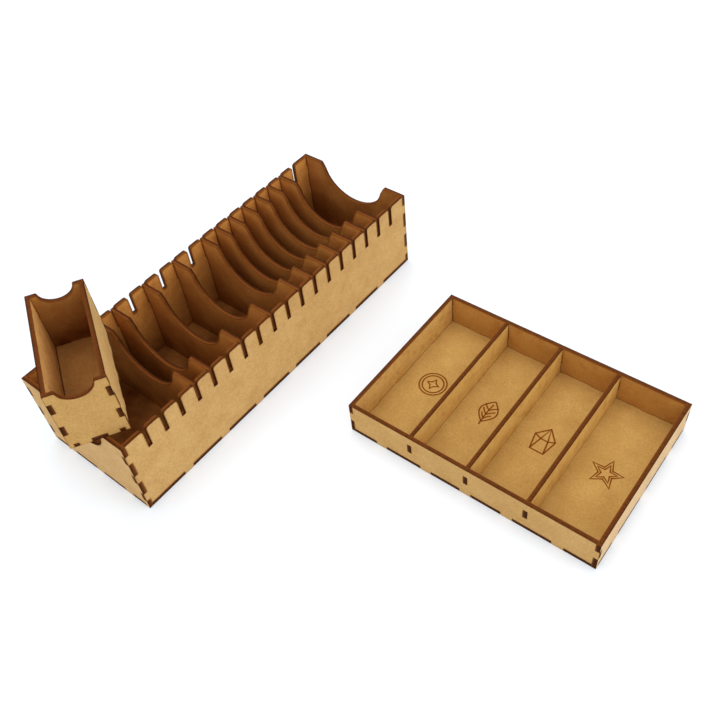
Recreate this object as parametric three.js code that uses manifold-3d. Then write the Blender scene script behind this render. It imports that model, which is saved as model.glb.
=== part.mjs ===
// Board game insert cut from 3 mm fibreboard: a card tray with comb walls and lift-out dividers, a narrow
// dice box standing on the card tray's rim, and a shallow token tray standing beside it.
// Millimetres, +Z up, origin at the middle of the card tray's underside, +X from its front wall to its back
// wall.
import * as THREE from 'three';
import { mergeVertices } from 'three/addons/utils/BufferGeometryUtils.js';
import Module from 'manifold-3d';

const wasm = await Module();
wasm.setup();

// The sheet and its joints
const board = 3;                        // thickness of every panel
const glueGap = 0.1;                    // room left all round a glued finger
const jointDepth = board + glueGap;     // how far a notch reaches in from a panel's edge

// Card tray: two long comb walls, two end walls with a scoop, and a floor
const cardTray = {
  name: 'card_tray',
  longWalls: ['near_wall', 'far_wall'],
  endWalls: ['front_wall', 'back_wall'],
  length: 290,
  width: 101,
  height: 67,
  bottomFinger: 8,                      // the end wall's lowest finger
  topFinger: 8.5,                       // the end wall's highest finger
  wallFinger: 8.5,                      // each finger of the long wall between them
  wallFingerCount: 3,
  longCorner: 33,                       // from the corner to the first gap along the floor's long edge
  longGap: 8.6,
  longGapCount: 7,
  endCorner: 16,                        // the same along the floor's short edge
  endGap: 8.6,
  endGapCount: 3,
};

// Comb of slots along the top of the card tray's long walls
const comb = {
  count: 18,
  endToSlot: 19,                        // from the tray's end to the middle of the first slot
  depth: 16.5,
  play: 0.15,                           // room on each side of a divider in its slot
  toothRadius: 2.2,
};

// Loose dividers: each stands on the floor between the long walls, an ear at each end reaches into a slot,
// and the middle is scooped out for a thumb
const divider = {
  slots: [4, 5, 7, 9, 11, 12, 13, 14, 15, 16, 17],   // counted from the front wall
  earRecess: 1,                         // from the ear's end to the long wall's outer face
  earClearance: 1.5,                    // from the slot's bottom to the ear
  wallGap: 0.5,                         // from the divider's body to the long wall
  floorGap: 0.2,
  belowRim: 0.2,
};

// Dice box: a narrow box that stands slantwise on the rim over the card tray's front far corner
const diceBox = {
  name: 'dice_box',
  longWalls: ['left_wall', 'right_wall'],
  endWalls: ['front_wall', 'back_wall'],
  length: 90.5,
  width: 38,
  height: 50,
  bottomFinger: 13,
  topFinger: 7.7,
  wallFinger: 8.4,
  wallFingerCount: 2,
  longCorner: 16,
  longGap: 8.6,
  longGapCount: 3,
  endCorner: 6.2,
  endGap: 8,
  endGapCount: 2,
};
const diceBoxFromFront = 22.1;          // from the card tray's front face to the box's middle
const diceBoxFromFarSide = 44.8;        // from the card tray's far face to the box's middle
const diceBoxTurn = 59.25;              // degrees from the card tray's length to the box's length
const rimGap = 0.1;                     // under the box where it stands on the rim

// Token tray: a shallow tray with three fixed dividers, standing on the table by itself
const tokenTray = {
  name: 'token_tray',
  longWalls: ['front_wall', 'back_wall'],
  endWalls: ['left_wall', 'right_wall'],
  length: 186.5,
  width: 125.5,
  height: 27.5,
  bottomFinger: 11.5,
  topFinger: 7.5,
  wallFinger: 8.5,
  wallFingerCount: 1,
  longGap: 8.8,
  longGapShares: [-0.36, -0.166, 0, 0.166, 0.36],    // middles of the gaps, as shares of the length
  endCorner: 20,
  endGap: 8.8,
  endGapCount: 3,
};
const tokenDividerCount = 3;
const tokenDividerPitch = 43.5;         // the outer compartments are a little wider than the inner two
const tokenTabHeight = 8;               // the divider's tab through each long wall
const tokenTabMiddle = 16;              // height of the tab's middle above the table
const tokenTrayAlong = 47.7;            // token tray's middle from the card tray's middle
const tokenTrayAside = -213.1;
const tokenTrayTurn = -89;              // degrees

// Scoops: the mouth is the width at the rim, and a short slanting flare leads into an elliptical hollow
const endScoop = { mouth: 64, width: 59, depth: 26, flare: 5.5 };
const dividerScoop = { mouth: 62, width: 57, depth: 27.8, flare: 5.5 };
const diceScoop = { mouth: 24, width: 22.8, depth: 9.2, flare: 1 };

// Facets along one curve of an outline
const toothFacets = 3;
const scoopFacets = 10;

// Fibreboard as it comes from the laser: paler outside, smoked brown on the loose dividers
const outerColour = '#c9a063';
const dividerColour = '#b98a4e';
const boardRoughness = 0.82;

function boardMaterial(colour) {
  return new THREE.MeshStandardMaterial({ color: colour, roughness: boardRoughness, metalness: 0 });
}

// Spans of one size, evenly spaced from `first` to `last` before the end of an edge.
function evenSpans(length, first, last, size, count) {
  const step = count > 1 ? (length - first - last - size) / (count - 1) : 0;
  return Array.from({ length: count }, (_, i) => [first + i * step, first + i * step + size]);
}

// Spans of one size, with their middles at shares of the length to either side of the edge's middle.
function spansAtShares(length, shares, size) {
  return shares.map((share) => {
    const middle = length / 2 + share * length;
    return [middle - size / 2, middle + size / 2];
  });
}

// What lies between the spans, from `from` to `to`, each piece `grow` longer wherever it meets a span.
function spansBetween(spans, from, to, grow) {
  const starts = [from, ...spans.map((span) => span[1] - grow)];
  const ends = [...spans.map((span) => span[0] + grow), to];
  return starts.map((start, i) => [start, ends[i]]);
}

// Corners of the notches along one edge. `place` turns a distance along the edge and a depth into a point.
function notchPoints(length, spans, place) {
  const points = [];
  for (const [from, to] of spans) {
    if (from > 0) points.push(place(from, 0), place(from, jointDepth));
    if (to < length) points.push(place(to, jointDepth), place(to, 0));
  }
  return points;
}

// A panel standing on its bottom edge, notched along its edges. The bottom edge has its own spans, both
// upright edges have the same ones, and drawTop adds the top edge from right to left.
function panelShape(width, height, bottomSpans, sideSpans, drawTop) {
  const bottomCut = bottomSpans[0][0] <= 0 ? jointDepth : 0;
  const sideCut = sideSpans[0][0] <= 0 ? jointDepth : 0;
  const bottom = notchPoints(width, bottomSpans, (along, depth) => [along, depth]);
  const right = notchPoints(height, sideSpans, (along, depth) => [width - depth, along]);
  const left = notchPoints(height, sideSpans, (along, depth) => [depth, along]).reverse();
  const topCut = sideSpans[sideSpans.length - 1][1] >= height ? jointDepth : 0;
  const shape = new THREE.Shape();
  shape.moveTo(sideCut, bottomCut);
  for (const point of bottom) shape.lineTo(...point);
  shape.lineTo(width - sideCut, bottomCut);
  for (const point of right) shape.lineTo(...point);
  shape.lineTo(width - topCut, height);
  drawTop(shape);
  shape.lineTo(topCut, height);
  for (const point of left) shape.lineTo(...point);
  shape.closePath();
  return shape;
}

// Straight top edge.
function drawPlainTop() {}

// Top edge with a scoop in its middle: down one flare, round half an ellipse and up the other flare.
function drawScoop(shape, middle, top, scoop) {
  const start = Math.asin(scoop.flare / scoop.depth);
  const halfAtFlare = Math.cos(start) * scoop.width / 2;
  shape.lineTo(middle + scoop.mouth / 2, top);
  shape.lineTo(middle + halfAtFlare, top - scoop.flare);
  shape.absellipse(middle, top, scoop.width / 2, scoop.depth, -start, start - Math.PI, true);
  shape.lineTo(middle - scoop.mouth / 2, top);
}

function slotMiddle(slot) {
  const pitch = (cardTray.length - 2 * comb.endToSlot) / (comb.count - 1);
  return comb.endToSlot + (slot - 1) * pitch;
}

// Top edge of a comb wall: slots open at the top, with rounded shoulders on the teeth between them.
function drawComb(shape) {
  const half = board / 2 + comb.play;
  const top = cardTray.height;
  const shoulder = top - comb.toothRadius;
  const bottom = top - comb.depth;
  for (let slot = comb.count; slot > 0; slot -= 1) {
    const right = slotMiddle(slot) + half;
    const left = slotMiddle(slot) - half;
    shape.lineTo(right + comb.toothRadius, top);
    shape.quadraticCurveTo(right, top, right, shoulder);
    shape.lineTo(right, bottom);
    shape.lineTo(left, bottom);
    shape.lineTo(left, shoulder);
    shape.quadraticCurveTo(left, top, left - comb.toothRadius, top);
  }
}

// Rectangular plug through the sheet, longer at both faces, with its middle at x, y of a panel's outline.
function mortisePlug(width, height, x, y) {
  return new THREE.BoxGeometry(width, height, 2 * board).translate(x, y, board / 2);
}

function toSolid(geometry) {
  const bare = geometry.clone().deleteAttribute('normal').deleteAttribute('uv');
  const merged = mergeVertices(bare);
  return new wasm.Manifold(new wasm.Mesh({
    numProp: 3,
    vertProperties: merged.attributes.position.array,
    triVerts: new Uint32Array(merged.index.array),
  }));
}

function toGeometry(solid) {
  const { vertProperties, triVerts } = solid.getMesh();
  const geometry = new THREE.BufferGeometry();
  geometry.setAttribute('position', new THREE.BufferAttribute(vertProperties, 3));
  geometry.setIndex(new THREE.BufferAttribute(triVerts, 1));
  geometry.computeVertexNormals();
  return geometry;
}

// One panel as a named mesh, cut from the sheet, less its plugs.
function cutPanel(name, shape, facets, colour, plugs = []) {
  const thickness = { depth: board, bevelEnabled: false, curveSegments: facets };
  const sheet = new THREE.ExtrudeGeometry(shape, thickness);
  const cut = plugs.reduce((solid, plug) => solid.subtract(toSolid(plug)), toSolid(sheet));
  const mesh = new THREE.Mesh(toGeometry(cut), boardMaterial(colour));
  mesh.name = name;
  return mesh;
}

// A panel that stands along the tray, its outline seen from the near side, filling y to y + board.
function standAlong(mesh, x, y) {
  mesh.rotation.x = Math.PI / 2;
  mesh.position.set(x, y + board, 0);
  return mesh;
}

// A panel that stands across the tray, its outline running from the near side to the far side, filling x to
// x + board.
function standAcross(mesh, x, y) {
  mesh.rotation.set(Math.PI / 2, 0, Math.PI / 2, 'ZYX');
  mesh.position.set(x, y, 0);
  return mesh;
}

// Finger layout that a tray's floor and walls share.
function trayLayout(tray) {
  const { length, width, height } = tray;
  const longGaps = tray.longGapShares
    ? spansAtShares(length, tray.longGapShares, tray.longGap)
    : evenSpans(length, tray.longCorner, tray.longCorner, tray.longGap, tray.longGapCount);
  return {
    longGaps,
    endGaps: evenSpans(width, tray.endCorner, tray.endCorner, tray.endGap, tray.endGapCount),
    wallRows: evenSpans(height, tray.bottomFinger, tray.topFinger, tray.wallFinger, tray.wallFingerCount),
  };
}

// Floor: a tab fills each gap that the walls leave along the bottom, and the end walls fill the corners.
function floorPanel(tray, layout) {
  const { length, width } = tray;
  const cornered = (spans, edge) => [[0, jointDepth], ...spans, [edge - jointDepth, edge]];
  const longSpans = cornered(layout.longGaps, length);
  const endSpans = cornered(layout.endGaps, width);
  const near = notchPoints(length, longSpans, (along, depth) => [along, depth]);
  const far = notchPoints(length, longSpans, (along, depth) => [along, width - depth]);
  const right = notchPoints(width, endSpans, (along, depth) => [length - depth, along]);
  const left = notchPoints(width, endSpans, (along, depth) => [depth, along]);
  const outline = [...near, ...right, ...far.reverse(), ...left.reverse()];
  const shape = new THREE.Shape(outline.map((point) => new THREE.Vector2(...point)));
  const mesh = cutPanel(`${tray.name}_floor`, shape, 1, outerColour);
  mesh.position.set(-length / 2, -width / 2, 0);
  return mesh;
}

// Long wall: its upright edges are notched for the end wall's fingers, its bottom edge for the floor's tabs.
function longWallPanel(tray, layout, name, y, drawTop, facets, plugs) {
  const bottom = spansBetween(layout.longGaps, 0, tray.length, glueGap);
  const sides = spansBetween(layout.wallRows, 0, tray.height, glueGap);
  const shape = panelShape(tray.length, tray.height, bottom, sides, drawTop);
  const mesh = cutPanel(`${tray.name}_${name}`, shape, facets, outerColour, plugs);
  return standAlong(mesh, -tray.length / 2, y);
}

// End wall: its fingers reach through the long walls, and its bottom edge is notched for the floor's tabs.
function endWallPanel(tray, layout, name, x, drawTop) {
  const bottom = spansBetween(layout.endGaps, board, tray.width - board, glueGap);
  const shape = panelShape(tray.width, tray.height, bottom, layout.wallRows, drawTop);
  const mesh = cutPanel(`${tray.name}_${name}`, shape, scoopFacets, outerColour);
  return standAcross(mesh, x, -tray.width / 2);
}

// Floor and four walls of a tray, centred on its own group.
function trayPanels(tray, drawLongTop, longFacets, drawEndTop, longPlugs = []) {
  const layout = trayLayout(tray);
  const group = new THREE.Group();
  const longPlaces = [-tray.width / 2, tray.width / 2 - board];
  const endPlaces = [-tray.length / 2, tray.length / 2 - board];
  group.add(floorPanel(tray, layout));
  tray.longWalls.forEach((name, i) => {
    group.add(longWallPanel(tray, layout, name, longPlaces[i], drawLongTop, longFacets, longPlugs));
  });
  tray.endWalls.forEach((name, i) => {
    group.add(endWallPanel(tray, layout, name, endPlaces[i], drawEndTop));
  });
  return group;
}

// Loose divider: the body stands between the long walls, and an ear at each end reaches into a slot.
function dividerShape() {
  const width = cardTray.width - 2 * divider.earRecess;
  const top = cardTray.height - divider.belowRim;
  const earBottom = cardTray.height - comb.depth + divider.earClearance;
  const bottom = board + divider.floorGap;
  const bodySide = board + divider.wallGap - divider.earRecess;
  const shape = new THREE.Shape();
  shape.moveTo(bodySide, bottom);
  shape.lineTo(width - bodySide, bottom);
  shape.lineTo(width - bodySide, earBottom);
  shape.lineTo(width, earBottom);
  shape.lineTo(width, top);
  drawScoop(shape, width / 2, top, dividerScoop);
  shape.lineTo(0, top);
  shape.lineTo(0, earBottom);
  shape.lineTo(bodySide, earBottom);
  shape.closePath();
  return shape;
}

function looseDivider(slot) {
  const name = `divider_${String(slot).padStart(2, '0')}`;
  const x = slotMiddle(slot) - cardTray.length / 2 - board / 2;
  const nearEnd = divider.earRecess - cardTray.width / 2;
  return standAcross(cutPanel(name, dividerShape(), scoopFacets, dividerColour), x, nearEnd);
}

// Fixed divider of the token tray: a tab in the middle of each end goes through the long wall.
function tokenDividerShape() {
  const { width, height } = tokenTray;
  const tabBottom = tokenTabMiddle - tokenTabHeight / 2;
  const tabTop = tokenTabMiddle + tokenTabHeight / 2;
  const shape = new THREE.Shape();
  shape.moveTo(jointDepth, jointDepth);
  shape.lineTo(width - jointDepth, jointDepth);
  shape.lineTo(width - jointDepth, tabBottom);
  shape.lineTo(width, tabBottom);
  shape.lineTo(width, tabTop);
  shape.lineTo(width - jointDepth, tabTop);
  shape.lineTo(width - jointDepth, height);
  shape.lineTo(jointDepth, height);
  shape.lineTo(jointDepth, tabTop);
  shape.lineTo(0, tabTop);
  shape.lineTo(0, tabBottom);
  shape.lineTo(jointDepth, tabBottom);
  shape.closePath();
  return shape;
}

// Card tray with its dividers, at the origin
const insert = new THREE.Group();
const drawEndScoop = (shape) => drawScoop(shape, cardTray.width / 2, cardTray.height, endScoop);
const cardTrayGroup = trayPanels(cardTray, drawComb, toothFacets, drawEndScoop);
for (const slot of divider.slots) cardTrayGroup.add(looseDivider(slot));
insert.add(cardTrayGroup);

// Dice box on the rim
const drawDiceScoop = (shape) => drawScoop(shape, diceBox.width / 2, diceBox.height, diceScoop);
const diceBoxGroup = trayPanels(diceBox, drawPlainTop, 1, drawDiceScoop);
diceBoxGroup.position.set(
  diceBoxFromFront - cardTray.length / 2,
  cardTray.width / 2 - diceBoxFromFarSide,
  cardTray.height + rimGap,
);
diceBoxGroup.rotation.z = THREE.MathUtils.degToRad(diceBoxTurn);
insert.add(diceBoxGroup);

// Token tray on the table
const middleDivider = (tokenDividerCount - 1) / 2;
const dividerOffsets = Array.from(
  { length: tokenDividerCount },
  (_, i) => (i - middleDivider) * tokenDividerPitch,
);
const mortiseWidth = board + 2 * glueGap;
const mortiseHeight = tokenTabHeight + 2 * glueGap;
const mortisePlugs = dividerOffsets.map(
  (offset) => mortisePlug(mortiseWidth, mortiseHeight, tokenTray.length / 2 + offset, tokenTabMiddle),
);
const tokenTrayGroup = trayPanels(tokenTray, drawPlainTop, 1, drawPlainTop, mortisePlugs);
dividerOffsets.forEach((offset, i) => {
  const panel = cutPanel(`${tokenTray.name}_divider_${i + 1}`, tokenDividerShape(), 1, outerColour);
  tokenTrayGroup.add(standAcross(panel, offset - board / 2, -tokenTray.width / 2));
});
tokenTrayGroup.position.set(tokenTrayAlong, tokenTrayAside, 0);
tokenTrayGroup.rotation.z = THREE.MathUtils.degToRad(tokenTrayTurn);
insert.add(tokenTrayGroup);

export default insert;
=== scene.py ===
"""Board game insert of laser-cut fibreboard: looks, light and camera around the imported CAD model."""

import bpy
import numpy as np
from mathutils import Matrix, Vector


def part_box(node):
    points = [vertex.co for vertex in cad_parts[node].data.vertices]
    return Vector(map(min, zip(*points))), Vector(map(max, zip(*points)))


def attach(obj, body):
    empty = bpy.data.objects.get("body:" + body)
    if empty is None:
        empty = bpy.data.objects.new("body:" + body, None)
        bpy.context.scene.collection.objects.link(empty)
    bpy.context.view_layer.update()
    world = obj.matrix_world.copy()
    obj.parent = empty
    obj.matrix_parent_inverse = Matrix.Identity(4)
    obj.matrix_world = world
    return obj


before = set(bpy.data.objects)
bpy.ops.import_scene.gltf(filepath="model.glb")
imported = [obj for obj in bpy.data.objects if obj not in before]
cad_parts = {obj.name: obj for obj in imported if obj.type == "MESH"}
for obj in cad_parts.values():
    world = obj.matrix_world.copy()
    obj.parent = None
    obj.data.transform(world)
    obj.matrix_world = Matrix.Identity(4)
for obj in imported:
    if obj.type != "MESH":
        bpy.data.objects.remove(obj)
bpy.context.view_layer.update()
mm = 0.001

# Camera: stands above the card tray's front near corner and looks down along both trays. Its place and
# angles were fitted to the trays' corners, so the picture has the photograph's perspective.
camera_place = np.array([-265.8, -378.0, 483.2]) * mm
look_turn = np.radians(44.03)     # from the card tray's length towards its far side
look_down = np.radians(48.96)     # below the horizon
camera_tilt = np.radians(-7.38)   # about the line of sight
film_width = 36.0
focal_length = 42.77

ahead = Vector((
    np.cos(look_down) * np.cos(look_turn),
    np.cos(look_down) * np.sin(look_turn),
    -np.sin(look_down),
))
level_right = ahead.cross(Vector((0, 0, 1))).normalized()
level_up = level_right.cross(ahead)
tilted_right = level_right * np.cos(camera_tilt) + level_up * np.sin(camera_tilt)
tilted_up = level_up * np.cos(camera_tilt) - level_right * np.sin(camera_tilt)
camera_data = bpy.data.cameras.new("camera")
camera_data.lens = focal_length
camera_data.sensor_width = film_width
camera = bpy.data.objects.new("camera", camera_data)
camera_turn = Matrix((tilted_right, tilted_up, -ahead)).transposed().to_4x4()
camera.matrix_world = Matrix.Translation(camera_place) @ camera_turn
bpy.context.collection.objects.link(camera)
bpy.context.scene.camera = camera

# Card tray: a long box with comb walls, glued from five panels whose fingers interlock. It is 3 mm board of
# pressed wood fibre. A laser cuts it, which burns each cut edge brown, chars the corner on the beam's side
# and leaves smoke on the other face. That smoked face is turned inwards.
board_thickness = 3 * mm
fibre_width = 1.5 * mm      # tufts of fibre, drawn coarser than the real 0.3 mm so that they show
fleck_width = 1.6 * mm      # single dark chips in the fibre
blotch_width = 14 * mm      # clouds where the fibre lies denser
smoke_width = 38 * mm       # clouds in the smoke
ragged_width = 7 * mm       # along an edge, the burn creeps further here than there
streak_width = 0.5 * mm     # lines that the pulsing beam leaves through a cut edge
streak_stretch = 0.04       # the lines run right through the board
seam_width = 0.9 * mm       # soot and painted shade in the corner where a sheet meets a long wall
seam_core = 0.3 * mm        # as dark as it gets within this
flush_limit = 1 * mm        # a finger's end lies no further inside the tray's outer face
fibre_relief = 0.05 * mm
relief_strength = 0.5
board_roughness = 0.86
board_shine = 0.08          # specular level: raw fibres hardly shine
dense_patch = (0.94, 0.90, 0.84, 1)     # share of the colour where the fibre lies denser, and is browner
loose_patch = (1.06, 1.08, 1.10, 1)
# brown of the smoke, and of the painted shade that darkens inside faces towards the floor
chip_brown = "#7c5326"
smoke_brown = "#5f2e0a"
burnt_edge = "#6a3813"
burnt_streak = "#50290c"
# char at a cut edge's corner, and the soot and painted shade in the seams
char_and_seam_shade = "#2e1204"
browned_rim = "#66340e"
scorched_rim = "#a3642a"

# What the noises and the leaning normal are turned into. A lean of 1 is a level face, and at the corner
# itself it is down to 0.7.
cloud_noise = {"Detail": 3.0, "Roughness": 0.55}
tuft_noise = {"Detail": 3.0, "Roughness": 0.65}
ragged_noise = {"Detail": 2.0, "Roughness": 0.55}
plain_noise = {"Detail": 1.0, "Roughness": 0.55}
noise_span = {"From Min": 0.3, "From Max": 0.7}     # nearly all of a noise lies between these
haze = {"To Min": 0.6, "To Max": 1.4}               # share of the smoke where it lies thin and thick
tuft_shade = {"To Min": 0.88, "To Max": 1.12}       # brightness of the darkest and the palest tuft
chip_peaks = {"From Min": 0.70, "From Max": 0.78, "To Max": 0.35}
ragged_reach = {"To Min": -0.02, "To Max": 0.02}
scorched_lean = {"From Min": 0.998, "From Max": 0.93}
browned_lean = {"From Min": 0.95, "From Max": 0.79}
faded_lean = {"From Min": -0.05, "From Max": -0.5}  # on a cut edge, towards where the beam came out
charred_lean = {"From Min": 0.15, "From Max": 0.6}  # and towards where it went in
clear_floor = 0.08          # the burn creeps less over a floor, whose edges lie under the walls,
clear_outside = 0.13        # and over an outside face
face_limit = 0.7            # how far a face's direction reaches along the sheet's axis, at least
steep_limit = 0.5           # a surface that rises more steeply than this faces no lamp from above
corner_samples = 6          # rays that round a corner's normal
sheet_up, sheet_aside, sheet_along = (0, 0, 1), (0, 1, 0), (1, 0, 0)

# A Mix node has several sockets of each name, so those for colours go by their numbers.
mix_by, mix_a, mix_b = 0, 6, 7
colour_mix = {"output": 2, "data_type": "RGBA"}


def linear(colour):
    """Linear RGBA of an sRGB hex colour: each channel by the two-part sRGB curve."""
    srgb = np.array([int(colour[i:i + 2], 16) for i in (1, 3, 5)]) / 255
    channels = np.where(srgb <= 0.04045, srgb / 12.92, ((srgb + 0.055) / 1.055) ** 2.4)
    return (*channels, 1.0)


def add_node(tree, kind, inputs=None, output=0, **settings):
    """Adds a node with its settings, and returns one of its outputs. Each input is a value, or the output of
    another node that is linked to it."""
    node = tree.nodes.new("ShaderNode" + kind)
    for name, value in settings.items():
        setattr(node, name, value)
    for name, value in (inputs or {}).items():
        if isinstance(value, bpy.types.NodeSocket):
            tree.links.new(value, node.inputs[name])
        else:
            node.inputs[name].default_value = value
    return node.outputs[output] if node.outputs else None


def new_material(name):
    """A material with an empty node tree, and that tree."""
    material = bpy.data.materials.new(name)
    material.use_nodes = True
    material.node_tree.nodes.clear()
    return material, material.node_tree


def smoked_fibre(tree, look, own, tufts, pale, is_inside):
    """Colour of a bare face: smoke over the pale board in clouds, with painted shade that thickens it lower
    down, then clouds of denser fibre, tufts lighter and darker than the rest, and single dark chips."""
    thin, thick = look["smoke"]
    top = look["size"][2] / 2
    height = add_node(tree, "VectorMath", {0: own, 1: sheet_up}, "Value", operation="DOT_PRODUCT")
    # painted shade: the share grows from the rim down to the floor, darker where less light reaches
    depth = {"Value": height, "From Min": top, "From Max": -top, "To Min": thin, "To Max": thick}
    smoke = add_node(tree, "MapRange", depth)
    clouds = add_node(tree, "TexNoise", {"Vector": own, "Scale": 1 / smoke_width, **cloud_noise})
    uneven = add_node(tree, "MapRange", {"Value": clouds, **noise_span, **haze})
    smoke = add_node(tree, "Math", {0: smoke, 1: uneven}, operation="MULTIPLY")
    smoke = add_node(tree, "Math", {0: smoke, 1: is_inside}, operation="MULTIPLY")
    colour = add_node(tree, "Mix", {mix_by: smoke, mix_a: pale, mix_b: linear(smoke_brown)}, **colour_mix)

    clouds = add_node(tree, "TexNoise", {"Vector": own, "Scale": 1 / blotch_width, **cloud_noise})
    loose = add_node(tree, "MapRange", {"Value": clouds, **noise_span})
    patch = add_node(tree, "Mix", {mix_by: loose, mix_a: dense_patch, mix_b: loose_patch}, **colour_mix)
    colour = add_node(tree, "VectorMath", {0: colour, 1: patch}, operation="MULTIPLY")
    shade = add_node(tree, "MapRange", {"Value": tufts, **noise_span, **tuft_shade})
    colour = add_node(tree, "VectorMath", {0: colour, "Scale": shade}, operation="SCALE")

    flecks = add_node(tree, "TexNoise", {"Vector": own, "Scale": 1 / fleck_width, **plain_noise})
    chip = add_node(tree, "MapRange", {"Value": flecks, **chip_peaks})
    return add_node(tree, "Mix", {mix_by: chip, mix_a: colour, mix_b: linear(chip_brown)}, **colour_mix)


def creeping_burn(tree, own, bare, lean, clear):
    """Colour of a face near its cut edges: scorched, then browned, the more the rounded normal leans over.
    What stays clear of it is added to the lean, with a little that varies along the edge."""
    ragged = add_node(tree, "TexNoise", {"Vector": own, "Scale": 1 / ragged_width, **ragged_noise})
    uneven = add_node(tree, "MapRange", {"Value": ragged, **noise_span, **ragged_reach})
    level = add_node(tree, "Math", {0: lean, 1: clear}, operation="ADD")
    level = add_node(tree, "Math", {0: level, 1: uneven}, operation="ADD")
    scorch = add_node(tree, "MapRange", {"Value": level, **scorched_lean})
    brown = add_node(tree, "MapRange", {"Value": level, **browned_lean})
    scorched = add_node(tree, "Mix", {mix_by: scorch, mix_a: bare, mix_b: linear(scorched_rim)}, **colour_mix)
    return add_node(tree, "Mix", {mix_by: brown, mix_a: scorched, mix_b: linear(browned_rim)}, **colour_mix)


def sooty_seam(tree, look, own, face, is_inside):
    """Colour of an inside face with a dark line of soot and painted shade where the sheet meets a long wall.
    There the point is as far from the tray's middle as that wall's inner side."""
    wall_side = look["size"][1] / 2 - board_thickness
    across = add_node(tree, "VectorMath", {0: own, 1: sheet_aside}, "Value", operation="DOT_PRODUCT")
    across = add_node(tree, "Math", {0: across}, operation="ABSOLUTE")
    gap = add_node(tree, "Math", {0: across, 1: wall_side}, operation="SUBTRACT")
    gap = add_node(tree, "Math", {0: gap}, operation="ABSOLUTE")
    soot = {"Value": gap, "From Min": seam_width, "From Max": seam_core, "To Max": look["soot"]}
    soot = add_node(tree, "MapRange", soot)
    soot = add_node(tree, "Math", {0: soot, 1: is_inside}, operation="MULTIPLY")
    return add_node(tree, "Mix", {mix_by: soot, mix_a: face, mix_b: linear(char_and_seam_shade)}, **colour_mix)


def cut_edge(tree, look, own, facing, streaks, beam_way):
    """Colour of a cut edge: streaks right through the board, charred at the corner where the beam went in
    and faded towards the other. A finger's end is flush where the point reaches as far along its own
    direction as the tray's outer face does."""
    share = add_node(tree, "MapRange", {"Value": streaks, **noise_span})
    browns = {mix_by: share, mix_a: linear(burnt_streak), mix_b: linear(burnt_edge)}
    brown = add_node(tree, "Mix", browns, **colour_mix)
    unsigned = add_node(tree, "VectorMath", {0: facing}, operation="ABSOLUTE")
    half = look["size"] / 2
    outer = add_node(tree, "VectorMath", {0: unsigned, 1: half}, "Value", operation="DOT_PRODUCT")
    here = add_node(tree, "VectorMath", {0: own, 1: facing}, "Value", operation="DOT_PRODUCT")
    short = add_node(tree, "Math", {0: outer, 1: here}, operation="SUBTRACT")
    is_flush = add_node(tree, "Math", {0: short, 1: flush_limit}, operation="LESS_THAN")
    upwards = add_node(tree, "VectorMath", {0: facing, 1: sheet_up}, "Value", operation="DOT_PRODUCT")
    is_steep = add_node(tree, "Math", {0: upwards, 1: steep_limit}, operation="LESS_THAN")
    is_end = add_node(tree, "Math", {0: is_flush, 1: is_steep}, operation="MULTIPLY")
    shade = add_node(tree, "MapRange", {"Value": is_end, "To Min": 1.0, "To Max": look["end_shade"]})
    brown = add_node(tree, "VectorMath", {0: brown, "Scale": shade}, operation="SCALE")
    fade = add_node(tree, "MapRange", {"Value": beam_way, **faded_lean})
    char = add_node(tree, "MapRange", {"Value": beam_way, **charred_lean})
    faded = add_node(tree, "Mix", {mix_by: fade, mix_a: brown, mix_b: linear(look["faded"])}, **colour_mix)
    return add_node(tree, "Mix", {mix_by: char, mix_a: faded, mix_b: linear(char_and_seam_shade)}, **colour_mix)


def raw_surface(tree, colour, relief):
    """Bare fibreboard: rough, with hardly any shine, and raised by its fibres."""
    raised = {"Height": relief, "Distance": fibre_relief, "Strength": relief_strength}
    return add_node(tree, "BsdfPrincipled", {
        "Base Color": colour,
        "Roughness": board_roughness,
        "Specular IOR Level": board_shine,
        "Normal": add_node(tree, "Bump", raised),
    })


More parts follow.
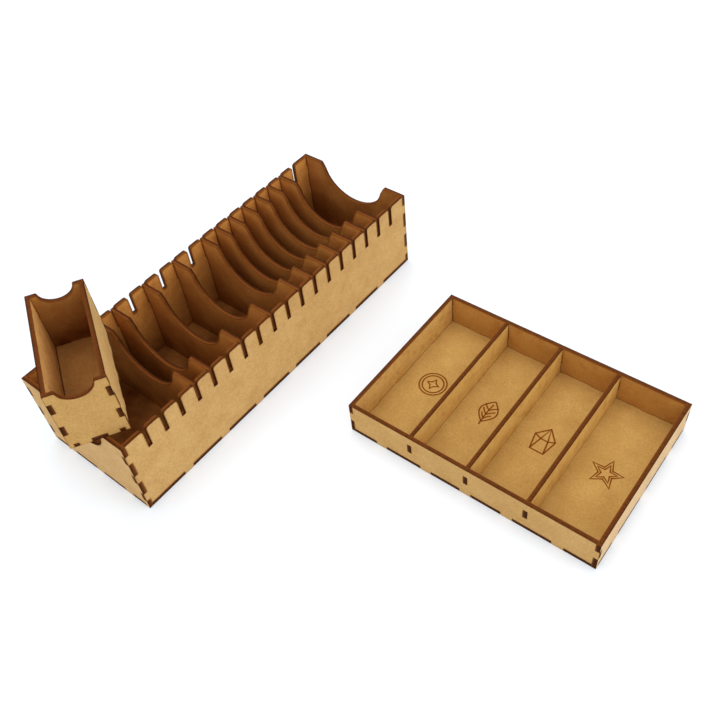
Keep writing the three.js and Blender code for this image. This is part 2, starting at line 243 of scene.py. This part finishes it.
def cut_board(name, tray, sheet_axis, one_tone=False, **tones):
    """Fibreboard for the panels of one tray that face along sheet_axis, in that tray's own directions.

    A face is told from a cut edge by its direction. The rounded normal leans away from the sheet's axis near
    a corner, and how far it leans gives the burn. A face is outside where it points away from the tray's
    middle, and the beam went in there. With one_tone both faces are inside ones, and the beam went in at the
    axis's end. The tones given in the call take the place of the tray's.
    """
    look = {**tray, **tones}
    material, tree = new_material(name)
    turned = {"Rotation": (0, 0, look["turn"])}
    point = add_node(tree, "TexCoord", output="Object")
    placed = {"Vector": point, "Location": look["middle"], **turned}
    own = add_node(tree, "Mapping", placed, vector_type="TEXTURE")
    normal = add_node(tree, "NewGeometry", output="True Normal")
    facing = add_node(tree, "Mapping", {"Vector": normal, **turned}, vector_type="TEXTURE")
    normal = add_node(tree, "Bevel", {"Radius": look["creep"]}, samples=corner_samples)
    rounded = add_node(tree, "Mapping", {"Vector": normal, **turned}, vector_type="TEXTURE")

    square = add_node(tree, "VectorMath", {0: facing, 1: sheet_axis}, "Value", operation="DOT_PRODUCT")
    square = add_node(tree, "Math", {0: square}, operation="ABSOLUTE")
    on_face = add_node(tree, "Math", {0: square, 1: face_limit}, operation="GREATER_THAN")
    tilt = add_node(tree, "VectorMath", {0: rounded, 1: sheet_axis}, "Value", operation="DOT_PRODUCT")
    lean = add_node(tree, "Math", {0: tilt}, operation="ABSOLUTE")
    clear = clear_floor if sheet_axis == sheet_up else 0.0
    if one_tone:
        is_inside, beam_way, pale = 1.0, tilt, linear(look["inside"])
    else:
        outwards = add_node(tree, "VectorMath", {0: own, 1: facing}, "Value", operation="DOT_PRODUCT")
        is_outside = add_node(tree, "Math", {0: outwards, 1: 0.0}, operation="GREATER_THAN")
        is_inside = add_node(tree, "Math", {0: 1.0, 1: is_outside}, operation="SUBTRACT")
        side = add_node(tree, "VectorMath", {0: own, 1: sheet_axis}, "Value", operation="DOT_PRODUCT")
        beam_end = add_node(tree, "Math", {0: side}, operation="SIGN")
        beam_way = add_node(tree, "Math", {0: tilt, 1: beam_end}, operation="MULTIPLY")
        clear = add_node(tree, "MapRange", {"Value": is_outside, "To Min": clear, "To Max": clear_outside})
        sides = {mix_by: is_outside, mix_a: linear(look["inside"]), mix_b: linear(look["outside"])}
        pale = add_node(tree, "Mix", sides, **colour_mix)

    tufts = add_node(tree, "TexNoise", {"Vector": own, "Scale": 1 / fibre_width, **tuft_noise})
    bare = smoked_fibre(tree, look, own, tufts, pale, is_inside)
    face = creeping_burn(tree, own, bare, lean, clear)
    if "soot" in look:
        face = sooty_seam(tree, look, own, face, is_inside)

    stretch = [streak_stretch if part else 1.0 for part in sheet_axis]
    through = add_node(tree, "Mapping", {"Vector": own, "Scale": stretch})
    streaks = add_node(tree, "TexNoise", {"Vector": through, "Scale": 1 / streak_width, **plain_noise})
    edge = cut_edge(tree, look, own, facing, streaks, beam_way)

    colour = add_node(tree, "Mix", {mix_by: on_face, mix_a: edge, mix_b: face}, **colour_mix)
    on_edge = add_node(tree, "Math", {0: 1.0, 1: on_face}, operation="SUBTRACT")
    grooves = add_node(tree, "Math", {0: streaks, 1: on_edge}, operation="MULTIPLY")
    relief = add_node(tree, "Math", {0: tufts, 1: grooves}, operation="ADD")
    add_node(tree, "OutputMaterial", {"Surface": raw_surface(tree, colour, relief)})
    return material


def finish_board(material, nodes):
    """Gives CAD panels their fibreboard."""
    for name in nodes:
        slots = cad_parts[name].data.materials
        slots.clear()
        slots.append(material)


def middle_of(name):
    """Middle of a tray's panels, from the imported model."""
    boxes = [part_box(node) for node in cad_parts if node.startswith(name)]
    low = np.min([box[0] for box in boxes], axis=0)
    high = np.max([box[1] for box in boxes], axis=0)
    return (low + high) / 2


card_tray = {
    "middle": middle_of("card_tray_"),
    "size": np.array([290, 101, 67]) * mm,
    "turn": 0.0,
    "creep": 2.6 * mm,        # how far the burn creeps over a face
    "faded": "#834a1b",       # the edge's corner on the inside
    "end_shade": 0.5,         # the flush ends of fingers are the darkest edges
    "outside": "#d0a669",
    "inside": "#cf8f49",
    "smoke": (0.15, 0.75),    # share of smoke and painted shade at the rim, and at the floor
}
finish_board(cut_board("fibreboard_card_floor", card_tray, sheet_up), ["card_tray_floor"])
finish_board(
    cut_board("fibreboard_card_sides", card_tray, sheet_aside, inside="#dc9a4e", smoke=(0.0, 0.8)),
    ["card_tray_near_wall", "card_tray_far_wall"],
)
# painted shade: the end walls' inner faces are darker at the rim than the long walls'
finish_board(
    cut_board(
        "fibreboard_card_ends", card_tray, sheet_along,
        outside="#d3ac75", smoke=(0.45, 0.8), soot=0.5, end_shade=0.85,
    ),
    ["card_tray_front_wall", "card_tray_back_wall"],
)

# Dividers: loose panels of the same board that stand on the tray's floor, with an ear in a slot at each
# end. Both faces are smoked.
finish_board(
    cut_board(
        "fibreboard_dividers", card_tray, sheet_along, one_tone=True,
        inside="#c68743", smoke=(0.15, 0.7), creep=3 * mm, soot=0.5,
    ),
    [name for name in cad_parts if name.startswith("divider_")],
)

# Dice box: a narrow glued box that stands slantwise on the card tray's rim. Its side walls are drawn paler
# than its ends and floor, outside and inside, which is painted light.
dice_box = {
    "middle": middle_of("dice_box_"),
    "size": np.array([90.5, 38, 50]) * mm,
    "turn": np.radians(59.25),
    "creep": 2.2 * mm,
    "faded": "#6c3814",
    "end_shade": 0.5,
    "outside": "#c59b5d",
    "inside": "#c8904c",
    "smoke": (0.15, 1.0),
}
finish_board(
    cut_board("fibreboard_dice_floor", dice_box, sheet_up, inside="#bd8a4c", smoke=(0.0, 0.45), soot=0.9),
    ["dice_box_floor"],
)
# painted light: the side walls are paler than the box's ends, on both faces
finish_board(
    cut_board(
        "fibreboard_dice_sides", dice_box, sheet_aside,
        outside="#dfb473", inside="#eab66f", smoke=(0.0, 0.6),
    ),
    ["dice_box_left_wall", "dice_box_right_wall"],
)
finish_board(
    cut_board("fibreboard_dice_ends", dice_box, sheet_along, smoke=(0.3, 0.9), soot=0.25),
    ["dice_box_front_wall", "dice_box_back_wall"],
)

# Token tray: a shallow glued box with three fixed dividers, whose tabs show in the front and back walls.
token_tray = {
    "middle": middle_of("token_tray_"),
    "size": np.array([186.5, 125.5, 27.5]) * mm,
    "turn": np.radians(-89),
    "creep": 1.6 * mm,
    "faded": "#75411a",
    "end_shade": 0.5,
    "outside": "#cda467",
    "inside": "#c69d59",
    "smoke": (0.0, 0.1),
}
finish_board(cut_board("fibreboard_token_floor", token_tray, sheet_up), ["token_tray_floor"])
# painted shade: the long walls' inner faces are darker than the tray's floor and dividers
finish_board(
    cut_board("fibreboard_token_sides", token_tray, sheet_aside, inside="#b98643"),
    ["token_tray_front_wall", "token_tray_back_wall"],
)
# painted sheen: the end walls' outer faces are paler than the tray's other outer faces
finish_board(
    cut_board(
        "fibreboard_token_ends", token_tray, sheet_along, outside="#e2c092", inside="#d3aa63", soot=0.85,
    ),
    ["token_tray_left_wall", "token_tray_right_wall"],
)
finish_board(
    cut_board(
        "fibreboard_token_dividers", token_tray, sheet_along, one_tone=True, inside="#d7ae62", soot=0.85,
    ),
    [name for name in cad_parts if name.startswith("token_tray_divider_")],
)

# Engraved motifs: one on the floor of each compartment, drawn by the laser at low power as thin burnt lines
# with a scorched border. They show what could be sorted there: coins, leaves, crystals and stars.
line_scorch = "#ad6a26"
line_brown = "#62310b"
line_half = 0.19 * mm
border_half = 0.85 * mm
line_rise = 0.03 * mm   # the line's skin above the floor
line_sink = 0.05 * mm   # its border below it
outer_compartment = 67.6 * mm   # from the tray's middle to the compartment's
inner_compartment = 21.75 * mm
compartments = [-outer_compartment, -inner_compartment, inner_compartment, outer_compartment]
burn_across = [0.0, 1.0, 1.0, 0.0]  # from one border over the line's two sides to the other
sharp_corner = 0.5              # a corner's normal grows to at most twice its length
scorched_burn = {"From Min": 0.0, "From Max": 0.7}
browned_burn = {"From Min": 0.5, "From Max": 1.0}


def engraved_fibreboard(tray):
    """The floor's fibreboard under a burn that the piece's own attribute gives: scorched, then brown."""
    material, tree = new_material("engraved_fibreboard")
    point = add_node(tree, "TexCoord", output="Object")
    placed = {"Vector": point, "Location": tray["middle"], "Rotation": (0, 0, tray["turn"])}
    own = add_node(tree, "Mapping", placed, vector_type="TEXTURE")
    tufts = add_node(tree, "TexNoise", {"Vector": own, "Scale": 1 / fibre_width, **tuft_noise})
    bare = smoked_fibre(tree, tray, own, tufts, linear(tray["inside"]), 1.0)
    burn = add_node(tree, "Attribute", output="Fac", attribute_name="burn")
    scorch = add_node(tree, "MapRange", {"Value": burn, **scorched_burn})
    brown = add_node(tree, "MapRange", {"Value": burn, **browned_burn})
    colour = add_node(tree, "Mix", {mix_by: scorch, mix_a: bare, mix_b: linear(line_scorch)}, **colour_mix)
    colour = add_node(tree, "Mix", {mix_by: brown, mix_a: colour, mix_b: linear(line_brown)}, **colour_mix)
    add_node(tree, "OutputMaterial", {"Surface": raw_surface(tree, colour, tufts)})
    return material


def ring(radius, count=48):
    """Points evenly spaced round a circle."""
    angle = np.linspace(0, 2 * np.pi, count, endpoint=False)
    return np.stack([radius * np.cos(angle), radius * np.sin(angle)], axis=1)


def star(outer, inner, tips):
    """Points of a star: the radius goes from outer to inner and back at even angles."""
    angle = np.arange(2 * tips) * np.pi / tips + np.pi / 2
    radius = np.where(np.arange(2 * tips) % 2 == 0, outer, inner)
    return np.stack([radius * np.cos(angle), radius * np.sin(angle)], axis=1)


def bow(start, end, swell, count=16):
    """A line from start to end that swells sideways by a half sine."""
    start, end = np.array(start, float), np.array(end, float)
    share = np.linspace(0, 1, count)[:, None]
    across = np.array([start[1] - end[1], end[0] - start[0]]) / np.linalg.norm(end - start)
    return start + (end - start) * share + across * swell * np.sin(np.pi * share)


def burnt_line(path, closed):
    """A flat ribbon along a path: at each point the border, the line's two sides and the border, set off
    along the normal. At a corner the normal is the mean of both sides' and longer, so the width stays."""
    before = np.roll(path, 1, axis=0)
    after = np.roll(path, -1, axis=0)
    if not closed:
        before[0] = 2 * path[0] - path[1]
        after[-1] = 2 * path[-1] - path[-2]
    ways = [step / np.linalg.norm(step, axis=1, keepdims=True) for step in (path - before, after - path)]
    normals = [np.stack([-way[:, 1], way[:, 0]], axis=1) for way in ways]
    normal = normals[0] + normals[1]
    normal /= np.maximum((normal * normals[0]).sum(axis=1, keepdims=True), sharp_corner)
    offsets = np.array([-border_half, -line_half, line_half, border_half])
    heights = np.array([-line_sink, line_rise, line_rise, -line_sink])
    flat = path[:, None, :] + normal[:, None, :] * offsets[None, :, None]
    points = np.dstack([flat, np.broadcast_to(heights, flat.shape[:2])]).reshape(-1, 3)
    first = np.arange(len(path) if closed else len(path) - 1)[:, None] * 4
    side = np.arange(4)[None, :]
    next_side = (side + 1) % 4
    following = (first + 4) % len(points)
    corners = [first + next_side, first + side, following + side, following + next_side]
    faces = np.stack(corners, axis=2).reshape(-1, 4)
    if not closed:
        last = len(points) - 4
        faces = np.vstack([faces, [[0, 1, 2, 3], [last + 3, last + 2, last + 1, last]]])
    return points, faces


# The motifs' points and sizes are in millimetres, from the middle of the compartment.
coin_rim, coin_groove = 10.0, 7.8
leaf_foot, leaf_tip, leaf_swell = (0, -9), (0, 11), 6.5
stem_foot, stem_tip, stem_swell = (0, -12), (0, 8), 0.5
vein_feet = (-6, -2, 2)         # heights on the stem
vein_reach, vein_rise, vein_swell = 5.4, 4.5, 0.4
leaf_widest = 1                 # the height at which the veins reach furthest
vein_taper = 0.25               # how much shorter they get for each millimetre away from it
crystal_left, crystal_top, crystal_right = (-7.5, 3), (0, 11.5), (7.5, 3)
crystal_feet = [(-5, -9.5), (5, -9.5)]
facet_left, facet_right = (-2.5, 1), (3, 1)

leaf_veins = []
for foot in vein_feet:
    reach = vein_reach - vein_taper * abs(foot - leaf_widest)
    for side in (-1, 1):
        leaf_veins.append(bow((0, foot), (side * reach, foot + vein_rise), vein_swell))

# Each motif's lines, and whether a line closes on itself.
motifs = {
    "coin": [(ring(coin_rim), True), (ring(coin_groove), True), (star(outer=4.6, inner=2.2, tips=4), True)],
    "leaf": [
        (bow(leaf_foot, leaf_tip, leaf_swell), False),
        (bow(leaf_foot, leaf_tip, -leaf_swell), False),
        (bow(stem_foot, stem_tip, stem_swell), False),
        *[(vein, False) for vein in leaf_veins],
    ],
    "crystal": [
        (np.array([*crystal_feet, crystal_right, crystal_top, crystal_left], float), True),
        (np.array([crystal_left, facet_left, facet_right, crystal_right], float), False),
        (np.array([facet_left, crystal_top, facet_right], float), False),
        (np.array([crystal_feet[0], facet_left], float), False),
        (np.array([crystal_feet[1], facet_right], float), False),
    ],
    "star": [(star(outer=11.5, inner=4.9, tips=5), True), (star(outer=7.2, inner=3.1, tips=5), True)],
}
engraved_board = engraved_fibreboard(token_tray)
floor_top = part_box("token_tray_divider_1")[0].z
floor_middle = [*token_tray["middle"][:2], floor_top]
for (motif, lines), across in zip(motifs.items(), compartments):
    points, faces, burns = [], [], []
    for path, closed in lines:
        line_points, line_faces = burnt_line(path * mm, closed)
        faces.append(line_faces + sum(len(part) for part in points))
        points.append(line_points)
        burns.append(np.tile(burn_across, len(path)))
    flat = np.vstack(points) + [across, 0, 0]
    turned = Matrix.Rotation(token_tray["turn"], 3, "Z")
    placed = flat @ np.array(turned).T + floor_middle
    mesh = bpy.data.meshes.new(f"engraved_{motif}")
    mesh.from_pydata(placed.tolist(), [], np.vstack(faces).tolist())
    mesh.attributes.new("burn", "FLOAT", "POINT").data.foreach_set("value", np.concatenate(burns))
    mesh.materials.append(engraved_board)
    engraving = bpy.data.objects.new(f"engraved_{motif}", mesh)
    bpy.context.collection.objects.link(engraving)
    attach(engraving, "token_tray")

# Studio: a plain white floor under soft lamps. The floor is white where light falls on it fully, and keeps
# the soft shadow under the trays.
floor_reach = 4.0
floor_depth = 0.3 * mm     # below the trays' undersides
floor_grey = "#d3dae2"
floor_glow = 0.285
world_light = 0.5
lamp_spread = np.radians(60)    # wide, for shadows with soft edges


def seen_plainly(tree):
    """1 for rays from the camera, and for those that come by way of gloss or glass."""
    direct, gloss, glass = [
        add_node(tree, "LightPath", output=f"Is {way} Ray") for way in ("Camera", "Glossy", "Transmission")
    ]
    seen = add_node(tree, "Math", {0: direct, 1: gloss}, operation="MAXIMUM")
    return add_node(tree, "Math", {0: seen, 1: glass}, operation="MAXIMUM")


floor_material, tree = new_material("white_studio_floor")
paper = add_node(tree, "BsdfDiffuse", {"Color": linear(floor_grey)})
glow_strength = add_node(tree, "Math", {0: seen_plainly(tree), 1: floor_glow}, operation="MULTIPLY")
glow = add_node(tree, "Emission", {"Strength": glow_strength})
add_node(tree, "OutputMaterial", {"Surface": add_node(tree, "AddShader", {0: paper, 1: glow})})
corner_signs = [(-1, -1), (1, -1), (1, 1), (-1, 1)]
floor_corners = [(x * floor_reach, y * floor_reach, -floor_depth) for x, y in corner_signs]
floor_mesh = bpy.data.meshes.new("studio_floor")
floor_mesh.from_pydata(floor_corners, [], [(0, 1, 2, 3)])
floor_mesh.materials.append(floor_material)
floor = bpy.data.objects.new("studio_floor", floor_mesh)
bpy.context.collection.objects.link(floor)

world = bpy.data.worlds.new("white_studio")
world.use_nodes = True
tree = world.node_tree
tree.nodes.clear()
sky = add_node(tree, "Background", {"Color": (1, 1, 1, 1), "Strength": world_light})
white = add_node(tree, "Background", {"Color": (1, 1, 1, 1), "Strength": 1.0})
either = add_node(tree, "MixShader", {0: seen_plainly(tree), 1: sky, 2: white})
add_node(tree, "OutputWorld", {"Surface": either})
bpy.context.scene.world = world


def soft_lamp(name, towards, strength):
    """A lamp as large as a studio ceiling: light that comes from one side, over a wide angle."""
    lamp_data = bpy.data.lights.new(name, "SUN")
    lamp_data.angle = lamp_spread
    lamp_data.energy = strength
    lamp = bpy.data.objects.new(name, lamp_data)
    lamp.rotation_euler = Vector(towards).to_track_quat("-Z", "Y").to_euler()
    bpy.context.collection.objects.link(lamp)


soft_lamp("ceiling_light", towards=(-0.1, -0.28, -1), strength=1.45)
soft_lamp("side_light", towards=(-0.25, 1, -0.7), strength=1.05)
soft_lamp("front_light", towards=(1, 0.25, -0.6), strength=0.8)

bpy.context.scene.view_settings.view_transform = "Standard"
